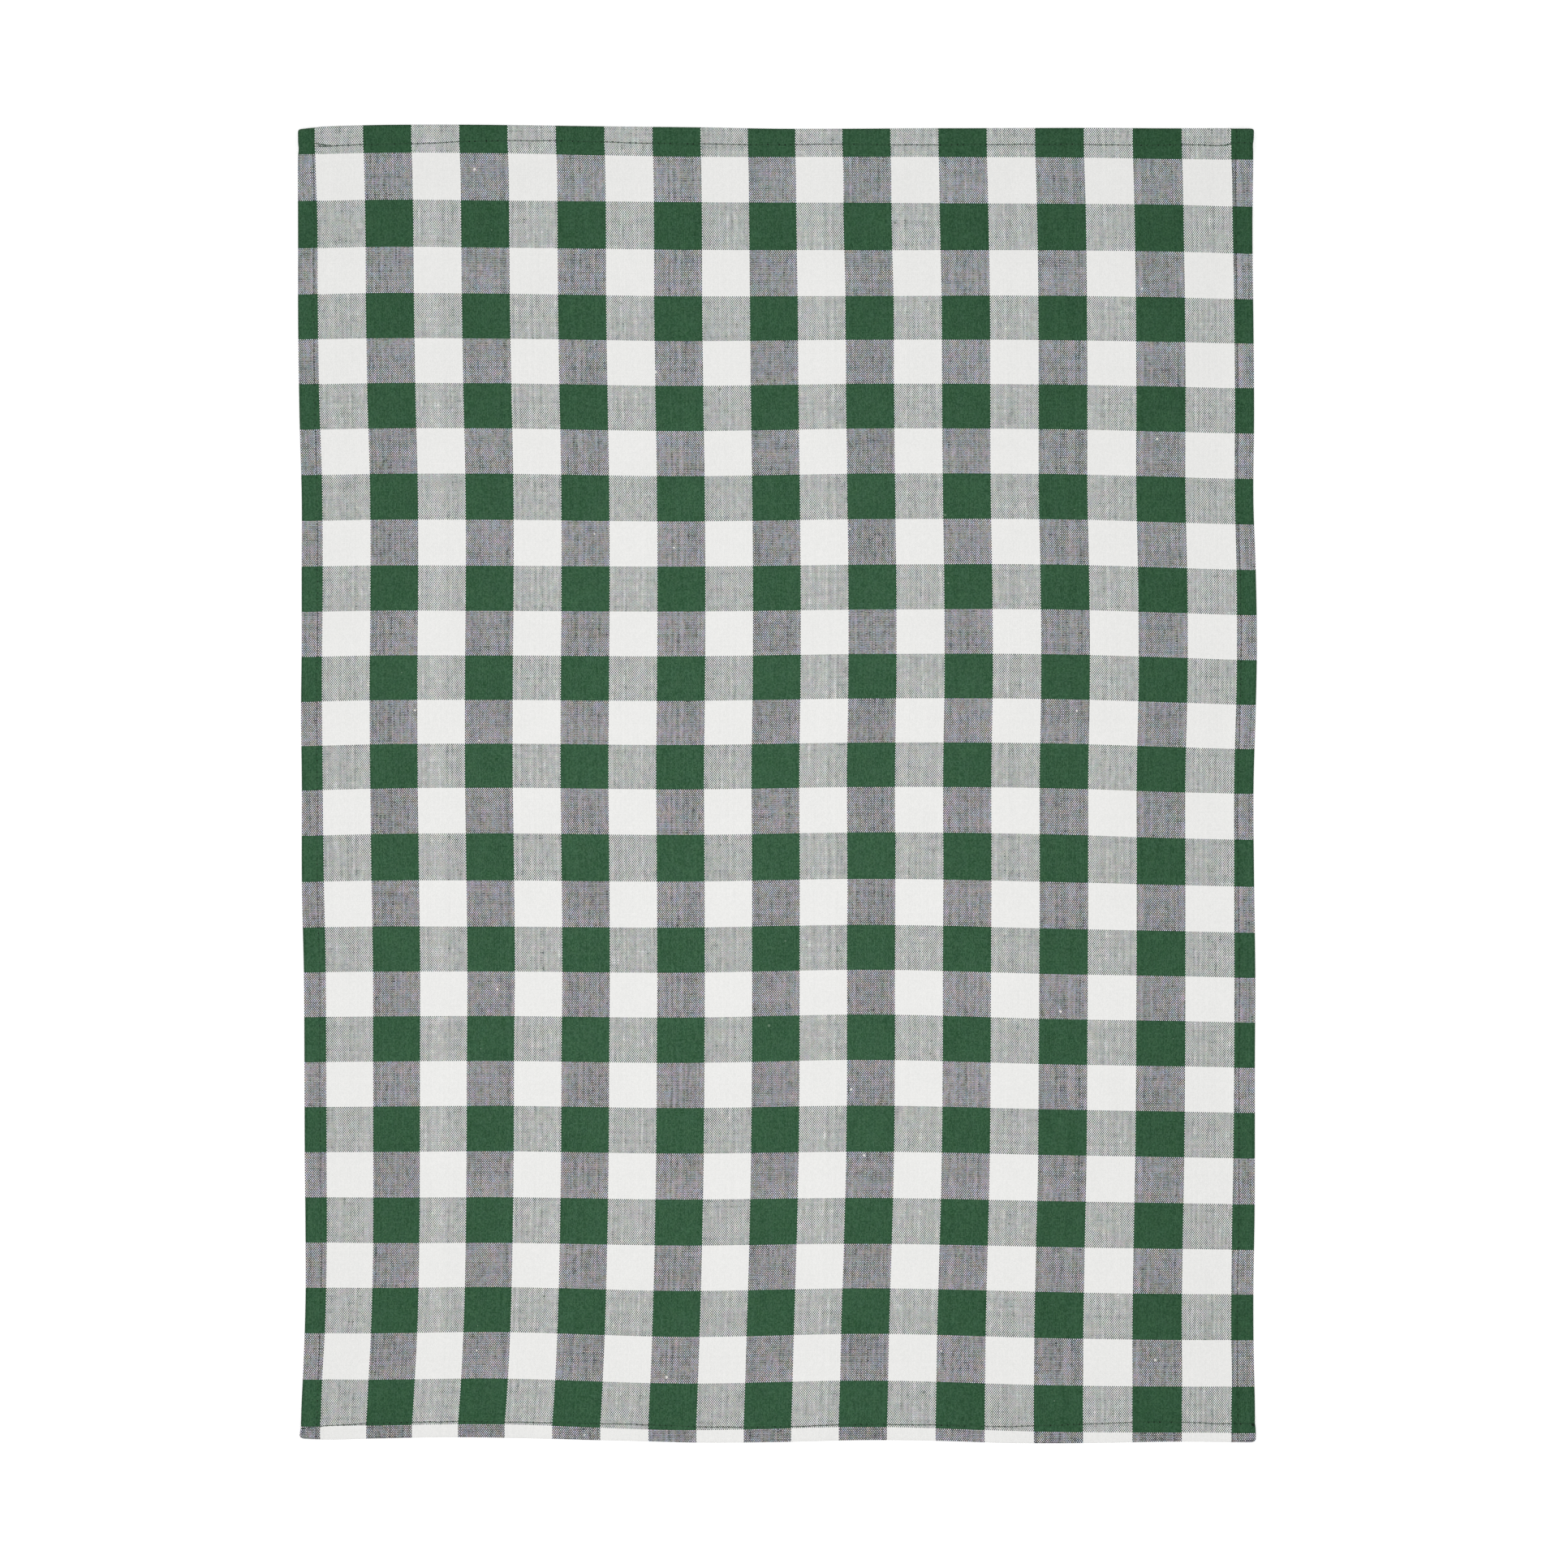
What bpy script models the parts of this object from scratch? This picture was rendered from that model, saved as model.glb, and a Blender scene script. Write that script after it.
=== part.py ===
"""A tea towel: one hemmed sheet of cloth, lying face up and flat.

Metres, +Z up. The towel lies on Z = 0 with its length along Y and its width along X. The origin is
under the middle of its outline, so the outline's own box is centred on X = 0, Y = 0.

All four edges are turned to the underside twice, so a hem is thicker than the single cloth, and a
corner, where two hems cross, is thicker again. The edges of a real towel are drawn in and let out a
little by the hems and by washing. The two tables of edge rows hold that waviness, and a third table
holds how wide the hems come out from one end of the cloth to the other.
"""

import math
from collections import namedtuple

import bmesh
import bpy
from mathutils import Vector

for old in list(bpy.data.objects):
    bpy.data.objects.remove(old, do_unlink=True)

MM = 0.001

# Sizes of the towel
TOWEL_WIDTH = 500.0 * MM  # nominal, hem to hem
TOWEL_LENGTH = 690.0 * MM
CLOTH_THICKNESS = 1.0 * MM  # the single cloth, with the air under it
HEM_EXTRA = 0.8 * MM  # what the turned-in layers add to it
HEM_RUN_OUT = 2.6 * MM  # over which the cloth comes down from a hem to its single thickness
FOLD_ROUND = 0.6 * MM  # the rounding along the folded edge
FOLD_DROP = 0.7 * MM  # how far the top of the folded edge lies below the hem
CORNER_ROUND = 2.2 * MM  # radius of the four corners, in plan

# How finely the single cloth between the hems is divided
CLOTH_COLUMNS = 20
CLOTH_ROWS = 28

# Where the side edges run. up: height in mm above the towel's middle. left and right: how far, in mm,
# that edge stands outside its nominal line (negative: inside it).
SideRow = namedtuple("SideRow", "up left right")
SIDE_EDGES = (
    SideRow(up=-345, left=0.4, right=0.9),
    SideRow(up=-325, left=-0.3, right=0.6),
    SideRow(up=-300, left=-1.5, right=0.0),
    SideRow(up=-265, left=-2.5, right=-0.2),
    SideRow(up=-230, left=-2.4, right=0.4),
    SideRow(up=-190, left=-2.0, right=0.6),
    SideRow(up=-150, left=-1.9, right=0.6),
    SideRow(up=-100, left=-1.6, right=0.8),
    SideRow(up=-50, left=-0.5, right=0.2),
    SideRow(up=0, left=-0.5, right=-0.1),
    SideRow(up=40, left=-0.1, right=1.1),
    SideRow(up=75, left=-0.4, right=1.7),
    SideRow(up=110, left=-0.4, right=1.1),
    SideRow(up=150, left=-0.5, right=-0.2),
    SideRow(up=195, left=0.7, right=0.2),
    SideRow(up=240, left=1.4, right=-0.1),
    SideRow(up=290, left=1.5, right=-0.7),
    SideRow(up=345, left=1.6, right=0.0),
)

# Where the top and bottom edges run. across: distance in mm to the right of the middle. top and
# bottom: how far, in mm, that edge stands outside its nominal line.
EndRow = namedtuple("EndRow", "across top bottom")
END_EDGES = (
    EndRow(across=-250, top=-1.1, bottom=-1.4),
    EndRow(across=-238, top=-0.1, bottom=-1.0),
    EndRow(across=-215, top=0.7, bottom=-1.5),
    EndRow(across=-170, top=1.0, bottom=-2.2),
    EndRow(across=-125, top=0.6, bottom=-1.6),
    EndRow(across=-80, top=0.0, bottom=-0.4),
    EndRow(across=-40, top=-0.4, bottom=0.6),
    EndRow(across=0, top=-1.1, bottom=0.3),
    EndRow(across=45, top=-1.1, bottom=-0.7),
    EndRow(across=85, top=-0.9, bottom=-0.4),
    EndRow(across=125, top=-0.8, bottom=0.8),
    EndRow(across=165, top=-0.7, bottom=0.8),
    EndRow(across=205, top=-0.9, bottom=0.1),
    EndRow(across=250, top=-0.9, bottom=0.4),
)

# How wide each hem is, in mm. share: 0 at the left or bottom end of the hem, 1 at its other end.
HemRow = namedtuple("HemRow", "share left right top bottom")
HEM_WIDTHS = (
    HemRow(share=0.0, left=9.4, right=10.2, top=11.4, bottom=8.0),
    HemRow(share=0.25, left=9.4, right=10.2, top=9.8, bottom=10.0),
    HemRow(share=0.5, left=9.8, right=10.2, top=9.9, bottom=10.0),
    HemRow(share=0.75, left=10.4, right=10.4, top=10.4, bottom=10.6),
    HemRow(share=1.0, left=10.9, right=10.6, top=10.4, bottom=11.0),
)


def along(rows, key, column, at):
    """The value in one column at a place along the key column, on a smooth curve through the rows."""
    keys = [getattr(row, key) for row in rows]
    values = [getattr(row, column) for row in rows]
    at = min(max(at, keys[0]), keys[-1])
    last = len(keys) - 1
    i = min(max(k for k in range(last + 1) if keys[k] <= at), last - 1)

    def slope(k):
        if k == 0:
            return (values[1] - values[0]) / (keys[1] - keys[0])
        if k == last:
            return (values[-1] - values[-2]) / (keys[-1] - keys[-2])
        before = (values[k] - values[k - 1]) / (keys[k] - keys[k - 1])
        after = (values[k + 1] - values[k]) / (keys[k + 1] - keys[k])
        span = keys[k + 1] - keys[k - 1]
        return (before * (keys[k + 1] - keys[k]) + after * (keys[k] - keys[k - 1])) / span

    width = keys[i + 1] - keys[i]
    t = (at - keys[i]) / width
    return (
        (2 * t**3 - 3 * t**2 + 1) * values[i]
        + (t**3 - 2 * t**2 + t) * width * slope(i)
        + (3 * t**2 - 2 * t**3) * values[i + 1]
        + (t**3 - t**2) * width * slope(i + 1)
    )


def edge_line(side, at):
    """Distance from the towel's middle line to an edge, at a place along that edge, in metres."""
    if side in ("left", "right"):
        return TOWEL_WIDTH / 2 + MM * along(SIDE_EDGES, "up", side, at / MM)
    return TOWEL_LENGTH / 2 + MM * along(END_EDGES, "across", side, at / MM)


def hem_width(side, at):
    length = TOWEL_LENGTH if side in ("left", "right") else TOWEL_WIDTH
    return MM * along(HEM_WIDTHS, "share", side, at / length + 0.5)


# A line of the grid, counted from one pair of edges. end: which edge it belongs to, or None between
# the hems. inset: its distance inside that edge, where a fixed one holds. hems: how many hem widths
# and run-outs come on top. share: how far it is across the single cloth.
GridLine = namedtuple("GridLine", "end inset hems run_outs share")


def grid_lines(first, second, count):
    """The grid's lines from one edge to the opposite one: rounded fold, hem, run-out, cloth."""
    insets = (0.0, FOLD_ROUND, 0.62 * CORNER_ROUND, CORNER_ROUND)
    near = [GridLine(first, inset, 0, 0, 0.0) for inset in insets]
    near += [GridLine(first, 0.0, 1, 0, 0.0), GridLine(first, 0.0, 1, 1, 0.0)]
    middle = [GridLine(None, 0.0, 0, 0, k / (count + 1)) for k in range(1, count + 1)]
    far = [line._replace(end=second) for line in reversed(near)]
    return near + middle + far


def inset_of(line, at):
    """How far a line near an edge runs inside that edge."""
    return line.inset + line.hems * hem_width(line.end, at) + line.run_outs * HEM_RUN_OUT


def place(line, first, second, at):
    """The coordinate of a grid line, between the edge named first (low side) and second."""
    low, high = -edge_line(first, at), edge_line(second, at)
    if line.end == first:
        return low + inset_of(line, at)
    if line.end == second:
        return high - inset_of(line, at)
    low += hem_width(first, at) + HEM_RUN_OUT
    high -= hem_width(second, at) + HEM_RUN_OUT
    return low + line.share * (high - low)


def rounded(a, b):
    """Insets from two edges that meet at a corner, with the corner's square drawn in to an arc."""
    if a >= CORNER_ROUND or b >= CORNER_ROUND:
        return a, b
    p, q = 1 - a / CORNER_ROUND, 1 - b / CORNER_ROUND
    p, q = p * math.sqrt(1 - q * q / 2), q * math.sqrt(1 - p * p / 2)
    return CORNER_ROUND * (1 - p), CORNER_ROUND * (1 - q)


def nominal(line, half):
    """Where a line would be on a plain rectangle, to read the edge tables at."""
    if line.end is None:
        return (2 * line.share - 1) * half
    inset = min(line.inset + line.hems * 10 * MM + line.run_outs * HEM_RUN_OUT, half)
    return -half + inset if line.end in ("left", "bottom") else half - inset


def height(column, row):
    """Thickness of the cloth at a crossing of the grid: hems add up where they cross."""
    top = CLOTH_THICKNESS
    for line in (column, row):
        if line.end is not None and line.run_outs == 0:
            top += HEM_EXTRA
    on_fold = any(
        line.end is not None and line.hems == 0 and line.inset == 0.0 for line in (column, row)
    )
    return top - FOLD_DROP if on_fold else top


def build_towel():
    columns = grid_lines("left", "right", CLOTH_COLUMNS)
    rows = grid_lines("bottom", "top", CLOTH_ROWS)
    mesh = bmesh.new()
    upper, lower = {}, {}
    for i, column in enumerate(columns):
        across = nominal(column, TOWEL_WIDTH / 2)
        for j, row in enumerate(rows):
            up = nominal(row, TOWEL_LENGTH / 2)
            x = place(column, "left", "right", up)
            y = place(row, "bottom", "top", across)
            if column.end and row.end:
                a, b = inset_of(column, up), inset_of(row, across)
                drawn_a, drawn_b = rounded(a, b)
                x += (drawn_a - a) * (1 if column.end == "left" else -1)
                y += (drawn_b - b) * (1 if row.end == "bottom" else -1)
            upper[i, j] = mesh.verts.new((x, y, height(column, row)))
            lower[i, j] = mesh.verts.new((x, y, 0.0))
    across_by, up_by = len(columns), len(rows)
    for i in range(across_by - 1):
        for j in range(up_by - 1):
            ring = ((i, j), (i + 1, j), (i + 1, j + 1), (i, j + 1))
            mesh.faces.new([upper[k] for k in ring])
            mesh.faces.new([lower[k] for k in reversed(ring)])
    rim = (
        [(i, 0) for i in range(across_by - 1)]
        + [(across_by - 1, j) for j in range(up_by - 1)]
        + [(i, up_by - 1) for i in range(across_by - 1, 0, -1)]
        + [(0, j) for j in range(up_by - 1, 0, -1)]
    )
    for here, after in zip(rim, rim[1:] + rim[:1]):
        mesh.faces.new((lower[here], lower[after], upper[after], upper[here]))

    # The outline's own box goes round the origin
    xs = [vert.co.x for vert in mesh.verts]
    ys = [vert.co.y for vert in mesh.verts]
    middle = Vector(((min(xs) + max(xs)) / 2, (min(ys) + max(ys)) / 2, 0.0))
    bmesh.ops.translate(mesh, verts=mesh.verts, vec=-middle)

    data = bpy.data.meshes.new("towel")
    mesh.to_mesh(data)
    mesh.free()
    data.shade_smooth()
    data.set_sharp_from_angle(angle=math.radians(40))
    towel = bpy.data.objects.new("towel", data)
    bpy.context.scene.collection.objects.link(towel)
    return towel


def cloth_material():
    """Plain cotton in the check's average colour, a pale grey green."""
    material = bpy.data.materials.new("cloth")
    material.use_nodes = True
    shader = material.node_tree.nodes["Principled BSDF"]
    shader.inputs["Base Color"].default_value = (0.40, 0.42, 0.405, 1.0)
    shader.inputs["Roughness"].default_value = 0.9
    shader.inputs["Metallic"].default_value = 0.0
    return material


build_towel().data.materials.append(cloth_material())
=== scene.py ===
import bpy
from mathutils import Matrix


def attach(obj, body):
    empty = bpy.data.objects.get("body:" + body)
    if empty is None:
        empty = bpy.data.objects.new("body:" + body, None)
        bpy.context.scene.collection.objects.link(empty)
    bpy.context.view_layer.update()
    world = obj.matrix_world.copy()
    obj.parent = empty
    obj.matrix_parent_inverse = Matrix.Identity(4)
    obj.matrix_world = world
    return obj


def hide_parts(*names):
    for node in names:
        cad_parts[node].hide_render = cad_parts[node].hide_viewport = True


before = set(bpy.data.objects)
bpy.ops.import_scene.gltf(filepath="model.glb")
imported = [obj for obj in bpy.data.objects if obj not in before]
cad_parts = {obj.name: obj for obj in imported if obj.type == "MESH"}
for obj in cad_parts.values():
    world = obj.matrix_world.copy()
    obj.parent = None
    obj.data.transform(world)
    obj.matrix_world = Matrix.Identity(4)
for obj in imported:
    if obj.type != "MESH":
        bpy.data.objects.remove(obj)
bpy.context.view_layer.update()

"""A hemmed tea towel in a green and white check, laid out flat and seen from straight above.

Metres, +Z up. The cloth is one closed sheet, folded here as a maker folds it: each side hem is
turned under twice, then each end hem over the side hems. Every point of the sheet keeps the place
it has in the weave, so the check and the yarns run on round the folds. Stitches are thread laid
along the hems.
"""

import math
from collections import namedtuple

import bmesh
import bpy
import numpy as np
from mathutils import Vector

MM = 0.001
SIDES = ("top", "bottom", "left", "right")

# ---------------------------------------------------------------------------------------------
# Sizes
# ---------------------------------------------------------------------------------------------
TOWEL_WIDTH = 500.0 * MM
TOWEL_LENGTH = 690.0 * MM
CLOTH = 0.42 * MM  # one layer, with the little air that it keeps to the next
LAYER_GAP = 0.04 * MM  # of that, the air
HEM_RUN_OUT = 3.4 * MM  # over which the face comes down beside a hem
CORNER_ROUND_TOP, CORNER_ROUND_BOTTOM = 1.4 * MM, 2.1 * MM
END_PINCH = 0.34 * MM  # how far the sides draw in beside the stitches of an end hem
CORNER_PRESS = 0.34  # how much flatter the nine layers of a corner lie than they would unpressed
# How far each corner is drawn in, in mm, across and along. Keys: +1 or -1 for right or left, top or bottom
CORNER_IN = {(-1, 1): (0.33, 0.42), (1, 1): (0.15, 0.24), (-1, -1): (0.0, 0.26), (1, -1): (0.04, 0.14)}
TOP_SEAM_START = 8.7 * MM  # the top seam doesn't run on into its left corner
SEAM_MARGIN = 1.6 * MM  # from the stitches to the fold that they hold down
GRID = 4.6 * MM  # the sheet's mesh, between the hems

# The check: stripes across and along, and the yarns in one stripe
WARP_STRIPE = 25.13 * MM
WEFT_STRIPE = 23.77 * MM
ENDS = 48  # warp yarns in a stripe
PICKS = 34  # weft yarns in a stripe
FIRST_WARP_LINE = -239.6 * MM  # where the first line between two warp stripes lies
FIRST_WEFT_LINE = 328.8 * MM

STITCH = 3.02 * MM
THREAD_RADIUS = 0.14 * MM

# Where the side edges run, as on the solid. up: height in mm above the middle. left and right: how
# far that edge stands outside its nominal line, in mm.
CLOTH_INSIDE = {"left": 0.13, "right": 0.05, "top": 0.07, "bottom": 0.23}  # of the solid's edge, in mm
SideRow = namedtuple("SideRow", "up left right")
SIDE_EDGES = (
    SideRow(up=-345, left=0.4, right=0.9),
    SideRow(up=-325, left=-0.3, right=0.6),
    SideRow(up=-300, left=-1.5, right=0.0),
    SideRow(up=-265, left=-2.5, right=-0.2),
    SideRow(up=-230, left=-2.4, right=0.4),
    SideRow(up=-190, left=-2.0, right=0.6),
    SideRow(up=-150, left=-1.9, right=0.6),
    SideRow(up=-100, left=-1.6, right=0.8),
    SideRow(up=-50, left=-0.5, right=0.2),
    SideRow(up=0, left=-0.5, right=-0.1),
    SideRow(up=40, left=-0.1, right=1.1),
    SideRow(up=75, left=-0.4, right=1.7),
    SideRow(up=110, left=-0.4, right=1.1),
    SideRow(up=150, left=-0.5, right=-0.2),
    SideRow(up=195, left=0.7, right=0.2),
    SideRow(up=240, left=1.4, right=-0.1),
    SideRow(up=290, left=1.5, right=-0.7),
    SideRow(up=345, left=1.6, right=0.0),
)

EndRow = namedtuple("EndRow", "across top bottom")
END_EDGES = (
    EndRow(across=-250, top=-1.1, bottom=-1.4),
    EndRow(across=-238, top=-0.1, bottom=-1.0),
    EndRow(across=-215, top=0.7, bottom=-1.5),
    EndRow(across=-170, top=1.0, bottom=-2.2),
    EndRow(across=-125, top=0.6, bottom=-1.6),
    EndRow(across=-80, top=0.0, bottom=-0.4),
    EndRow(across=-40, top=-0.4, bottom=0.6),
    EndRow(across=0, top=-1.1, bottom=0.3),
    EndRow(across=45, top=-1.1, bottom=-0.7),
    EndRow(across=85, top=-0.9, bottom=-0.4),
    EndRow(across=125, top=-0.8, bottom=0.8),
    EndRow(across=165, top=-0.7, bottom=0.8),
    EndRow(across=205, top=-0.9, bottom=0.1),
    EndRow(across=250, top=-0.9, bottom=0.4),
)

# How far the stitches run inside each edge, in mm. share: 0 at the left or bottom end of a hem.
SeamRow = namedtuple("SeamRow", "share left right top bottom")
SEAMS = (
    SeamRow(share=0, left=8.77, right=9.5, top=9.94, bottom=5.6),
    SeamRow(share=0.02, left=8.47, right=9.2, top=10.44, bottom=7.1),
    SeamRow(share=0.06, left=8.1, right=8.81, top=10.33, bottom=7.84),
    SeamRow(share=0.12, left=8.2, right=8.42, top=10.11, bottom=8.21),
    SeamRow(share=0.2, left=8.3, right=8.38, top=8.54, bottom=8.35),
    SeamRow(share=0.28, left=8.15, right=8.52, top=8.11, bottom=8.6),
    SeamRow(share=0.36, left=8.37, right=8.44, top=8.69, bottom=8.84),
    SeamRow(share=0.43, left=8.22, right=8.49, top=8.81, bottom=8.35),
    SeamRow(share=0.5, left=8.2, right=8.38, top=8.55, bottom=8.07),
    SeamRow(share=0.57, left=8.27, right=8.36, top=8.23, bottom=8.32),
    SeamRow(share=0.64, left=8.42, right=8.34, top=8.85, bottom=8.34),
    SeamRow(share=0.72, left=8.12, right=8.31, top=8.76, bottom=8.47),
    SeamRow(share=0.8, left=8.32, right=8.6, top=8.73, bottom=9.73),
    SeamRow(share=0.88, left=8.37, right=8.7, top=9.12, bottom=10.53),
    SeamRow(share=0.94, left=8.57, right=8.8, top=8.73, bottom=10.06),
    SeamRow(share=0.972, left=8.21, right=9.2, top=8.87, bottom=9.72),
    SeamRow(share=0.98, left=7.91, right=9.2, top=7.97, bottom=9.92),
    SeamRow(share=1, left=7.81, right=9.2, top=8.17, bottom=9.92),
)

# How far the warp lines have drifted to the right of straight ones, in mm. Each row is a height in mm
# above the middle, and the drift at the places across.
WARP_DRIFT_ACROSS = (-245, -150, -50, 50, 150, 243)
WARP_DRIFT = (
    (-336, 0.4, -3.7, -3.8, -4.5, -2.4, 0.3),
    (-315, 1.1, -2.2, -3.0, -3.9, -2.3, 0.7),
    (-285, 2.8, -0.7, -1.9, -3.3, -2.1, 0.3),
    (-245, 3.7, 0.4, -0.8, -2.0, -1.4, 0.6),
    (-195, 3.5, 1.0, 0.1, -0.7, -0.4, 1.4),
    (-145, 3.3, 1.2, 0.5, -0.2, 0.0, 1.8),
    (-95, 2.9, 1.6, 0.7, -0.2, 0.3, 1.9),
    (-45, 1.8, 1.1, 0.5, 0.0, 0.5, 1.8),
    (5, 1.3, 0.4, 0.2, -0.2, 0.5, 1.8),
    (55, 0.9, 0.4, 0.7, 0.5, 1.3, 3.1),
    (105, 1.3, 0.8, 0.9, 0.5, 1.0, 3.1),
    (155, 1.0, 0.7, 0.6, -0.1, 0.0, 2.1),
    (205, -0.6, -0.3, -0.2, -0.7, 0.0, 2.2),
    (255, -1.3, -1.2, -0.8, -1.0, -0.2, 1.7),
    (300, -1.6, -1.6, -0.9, -2.1, -0.8, 0.9),
    (320, -2.3, -1.8, -1.2, -2.2, -1.4, 0.7),
    (337, -2.7, -2.4, -1.6, -2.7, -1.9, 0.0),
)
# And the weft lines upwards.
WEFT_DRIFT_ACROSS = (-247, -215, -150, -50, 50, 150, 215, 247)
WEFT_DRIFT = (
    (-339, 0.1, 0.5, 1.2, -1.9, -0.3, -2.9, -3.2, -3.3),
    (-313, 0.8, 0.6, 1.2, -1.4, 0.1, -2.4, -3.0, -2.9),
    (-280, 1.4, 1.3, 1.9, -0.5, 1.1, -1.2, -2.1, -2.1),
    (-240, 1.4, 1.0, 1.1, -0.3, 0.6, -1.2, -2.2, -2.6),
    (-190, 1.1, 1.2, 1.6, 0.4, 1.4, -0.4, -1.6, -2.1),
    (-130, 0.7, 1.0, 1.3, 0.4, 2.0, -0.5, -1.5, -2.2),
    (-70, 0.1, 0.6, 0.6, 0.1, 1.5, -0.5, -1.9, -2.6),
    (-10, 0.7, 1.6, 2.2, 1.3, 2.6, 1.7, -0.4, -1.1),
    (50, -0.5, 0.3, 0.5, 0.0, 1.3, 0.9, -1.0, -2.2),
    (110, -0.8, -0.2, -0.3, -0.7, 0.3, 0.3, -1.6, -2.6),
    (170, -0.4, 0.3, 0.5, -0.9, 0.5, 0.1, -1.5, -2.4),
    (220, -0.3, 0.3, 0.2, -1.1, -0.1, -0.6, -1.7, -2.5),
    (265, -0.7, 0.1, -0.1, -1.5, -1.5, -1.4, -2.4, -3.4),
    (310, 0.9, 1.6, 1.3, 0.4, 0.0, -0.5, -1.1, -2.1),
    (331, 1.4, 2.3, 2.2, 0.4, 0.3, 0.0, -0.9, -1.2),
)

# Low swells of the cloth off the surface, in mm: their middle, how long and wide they are, the
# direction in which they run, and their height.
Swell = namedtuple("Swell", "across up length width turn height")
SWELLS = (
    Swell(-150, 215, 150, 34, 20, 0.55),
    Swell(120, 250, 120, 30, -35, 0.45),
    Swell(40, 90, 200, 42, 65, 0.5),
    Swell(-170, -40, 160, 36, 82, 0.5),
    Swell(175, -10, 140, 30, 100, 0.6),
    Swell(-60, -150, 190, 40, -25, 0.55),
    Swell(140, -190, 150, 36, 35, 0.6),
    Swell(-190, -260, 110, 28, 60, 0.5),
    Swell(30, -290, 150, 30, 8, 0.5),
)


# ---------------------------------------------------------------------------------------------
# Curves through the tables
# ---------------------------------------------------------------------------------------------
def weights(keys, at):
    """Weights of a smooth curve through values at these keys, one row per place, straight beyond the ends."""
    keys = np.asarray(keys, float)
    at = np.asarray(at, float)
    n = len(keys)
    i = np.clip(np.searchsorted(keys, at, side="right") - 1, 0, n - 2)
    width = keys[i + 1] - keys[i]
    t = np.clip((at - keys[i]) / width, 0.0, 1.0)
    beyond = at - np.clip(at, keys[0], keys[-1])
    eye = np.eye(n)
    gaps = np.diff(keys)
    chords = (eye[1:] - eye[:-1]) / gaps[:, None]
    slopes = np.empty((n, n))
    slopes[0], slopes[-1] = chords[0], chords[-1]
    slopes[1:-1] = (chords[:-1] * gaps[1:, None] + chords[1:] * gaps[:-1, None]) / (
        gaps[1:] + gaps[:-1]
    )[:, None]
    t, width = t[..., None], width[..., None]
    out = (
        (2 * t**3 - 3 * t**2 + 1) * eye[i]
        + (t**3 - 2 * t**2 + t) * width * slopes[i]
        + (3 * t**2 - 2 * t**3) * eye[i + 1]
        + (t**3 - t**2) * width * slopes[i + 1]
    )
    end = np.where((beyond < 0)[..., None], slopes[0], slopes[-1])
    return out + beyond[..., None] * end


def column(rows, key, name, at):
    return weights([getattr(r, key) for r in rows], at) @ np.array([getattr(r, name) for r in rows], float)


def solid_edge(side, at):
    """Distance from the middle line to the solid's edge, in metres, at places along it."""
    if side in ("left", "right"):
        return TOWEL_WIDTH / 2 + MM * column(SIDE_EDGES, "up", side, np.clip(at / MM, -345, 345))
    return TOWEL_LENGTH / 2 + MM * column(END_EDGES, "across", side, np.clip(at / MM, -250, 250))


def edge(side, at):
    """And to the cloth's."""
    return solid_edge(side, at) - MM * CLOTH_INSIDE[side]


def seam(side, at):
    """How far the stitches run inside an edge. They wander a little."""
    length = TOWEL_LENGTH if side in ("left", "right") else TOWEL_WIDTH
    start = 1.7 * SIDES.index(side)
    wander = 0.07 * np.sin(at / (4.3 * MM) + start) + 0.05 * np.sin(at / (1.9 * MM) + 2 * start)
    return MM * (column(SEAMS, "share", side, np.clip(at / length + 0.5, 0, 1)) + wander)


def drift(rows, places, x, y):
    """Read from a drift table. Past its last rows and places the drift stays the same."""
    heights = [row[0] for row in rows]
    up = weights(heights, np.clip(y / MM, heights[0], heights[-1]))
    across = weights(places, np.clip(x / MM, places[0], places[-1]))
    values = np.array([row[1:] for row in rows], float)
    return MM * np.einsum("...i,ij,...j->...", up, values, across)


def weave_place(x, y):
    """Where a point of the flat cloth lies in the weave, in stripes: across from the first warp line, and
    down from the first weft line."""
    u = (x - drift(WARP_DRIFT, WARP_DRIFT_ACROSS, x, y) - FIRST_WARP_LINE) / WARP_STRIPE
    v = (FIRST_WEFT_LINE + drift(WEFT_DRIFT, WEFT_DRIFT_ACROSS, x, y) - y) / WEFT_STRIPE
    return u, v


def smooth(t):
    t = np.clip(t, 0.0, 1.0)
    return t * t * (3 - 2 * t)


def swell(x, y):
    """How far the cloth stands off the surface, never below it."""
    x, y = np.asarray(x) / MM, np.asarray(y) / MM
    z = np.zeros(np.broadcast(x, y).shape)
    for s in SWELLS:
        c, k = math.cos(math.radians(s.turn)), math.sin(math.radians(s.turn))
        along = (x - s.across) * c + (y - s.up) * k
        off = -(x - s.across) * k + (y - s.up) * c + 9 * np.sin(along / 41.0 + s.across)
        z += s.height * np.exp(-((along / (0.5 * s.length)) ** 2) - (off / (0.5 * s.width)) ** 2)
    z += 0.08 * (1 + np.sin(x / 17.3 + 1.7 * np.sin(y / 31.0))) * (1 + np.sin(y / 21.1 + 1.3 * np.sin(x / 37.0 + 2)))
    return z * MM


# ---------------------------------------------------------------------------------------------
# The hem's section
# ---------------------------------------------------------------------------------------------
# A station of the section, from the raw edge inside the hem to the face beside it. kind says which
# stretch it is on, and t how far along that stretch.
Station = namedtuple("Station", "kind t")


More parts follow.
